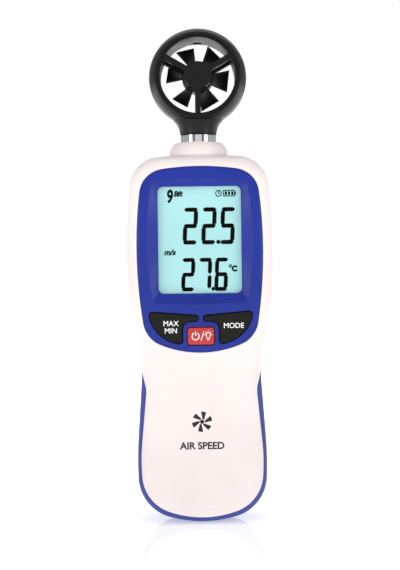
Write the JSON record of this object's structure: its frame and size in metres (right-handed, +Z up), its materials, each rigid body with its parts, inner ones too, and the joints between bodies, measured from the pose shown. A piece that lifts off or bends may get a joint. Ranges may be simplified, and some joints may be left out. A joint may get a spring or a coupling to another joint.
{
  "type": "handheld weather meter",
  "caption": "Handheld vane wind meter: slim housing with lit display, three keys, battery door and a fan head on a swivelling metal neck.",
  "frame": {"origin": "middle of the footprint at the lowest point of the housing, standing upright", "axes": "+Z up the length towards the fan head, display faces -Y, +X to the right seen from the front"},
  "size_m": [0.0476, 0.0286, 0.1634],
  "materials": {
    "white_shell": "satin moulded ABS",
    "blue_grip": "soft matt moulded rubber",
    "blue_bezel": "semi-gloss moulded ABS",
    "clear_window": "clear acrylic",
    "lcd_face": "lit liquid crystal cell",
    "light_guide": "frosted acrylic",
    "black_inner_plastic": "matt",
    "black_rubber": "matt",
    "circuit_board": "green solder resist",
    "chip_plastic": "matt",
    "bare_steel": "plain",
    "white_nylon": "matt",
    "grey_key": "matt moulded",
    "red_key": "satin moulded",
    "cell_sleeve": "printed sleeve",
    "screw_steel": "zinc plated",
    "chrome_collar": "polished",
    "black_head": "satin moulded",
    "black_vane": "matt moulded",
    "bearing_brass": "turned",
    "probe_glass": "glass bead",
    "lead_sleeve": "matt"
  },
  "bodies": {
    "handle": {"front_shell": "white_shell", "rear_shell": "white_shell", "side_grip": "blue_grip", "display_bezel": "blue_bezel", "display_window": "clear_window", "lcd_glass": "lcd_face", "lcd_light_guide": "light_guide", "lcd_holder": "black_inner_plastic", "zebra_strips": "black_rubber", "main_board": "circuit_board", "mcu_chip": "chip_plastic", "clock_crystal": "bare_steel", "lead_sockets": "white_nylon", "key_switches": "chip_plastic", "battery_cells": "cell_sleeve", "contact_plates": "bare_steel", "contact_springs": "bare_steel", "housing_screws": "screw_steel", "board_screws": "screw_steel", "neck_collar": "chrome_collar", "sensor_lead": "lead_sleeve"},
    "key_left": {"key_left": "grey_key", "plunger_left": "white_nylon"},
    "key_right": {"key_right": "grey_key", "plunger_right": "white_nylon"},
    "key_power": {"key_power": "red_key", "plunger_power": "white_nylon"},
    "battery_door": {"battery_door": "white_shell"},
    "head": {"swivel_stem": "bare_steel", "friction_ring": "black_rubber", "stem_clip": "bare_steel", "head_front_shell": "black_head", "head_rear_shell": "black_head", "head_screws": "screw_steel", "vane_front_frame": "black_vane", "vane_rear_frame": "black_vane", "vane_bearings": "bearing_brass", "sensor_board": "circuit_board", "speed_pickup": "chip_plastic", "temperature_bead": "probe_glass"},
    "impeller": {"impeller": "black_vane", "impeller_axle": "bare_steel"}
  },
  "joints": [
    {"name": "head_swivel", "type": "hinge", "parent": "handle", "child": "head", "pos_m": [0, 0, 0.1279], "axis": [0, 0, 1], "range_deg": [-90, 90]},
    {"name": "impeller_spin", "type": "hinge", "parent": "head", "child": "impeller", "pos_m": [0, 0, 0.1471], "axis": [0, -1, 0], "continuous": true},
    {"name": "key_left_press", "type": "slide", "parent": "handle", "child": "key_left", "axis": [0, 1, 0], "range_m": [0, 0.0006], "stiffness_N_per_m": 1500},
    {"name": "key_power_press", "type": "slide", "parent": "handle", "child": "key_power", "axis": [0, 1, 0], "range_m": [0, 0.0006], "stiffness_N_per_m": 1500},
    {"name": "key_right_press", "type": "slide", "parent": "handle", "child": "key_right", "axis": [0, 1, 0], "range_m": [0, 0.0006], "stiffness_N_per_m": 1500},
    {"name": "battery_door_hinge", "type": "hinge", "parent": "handle", "child": "battery_door", "pos_m": [0, 0.014, 0.012], "axis": [-1, 0, 0], "range_deg": [0, 60]}
  ]
}
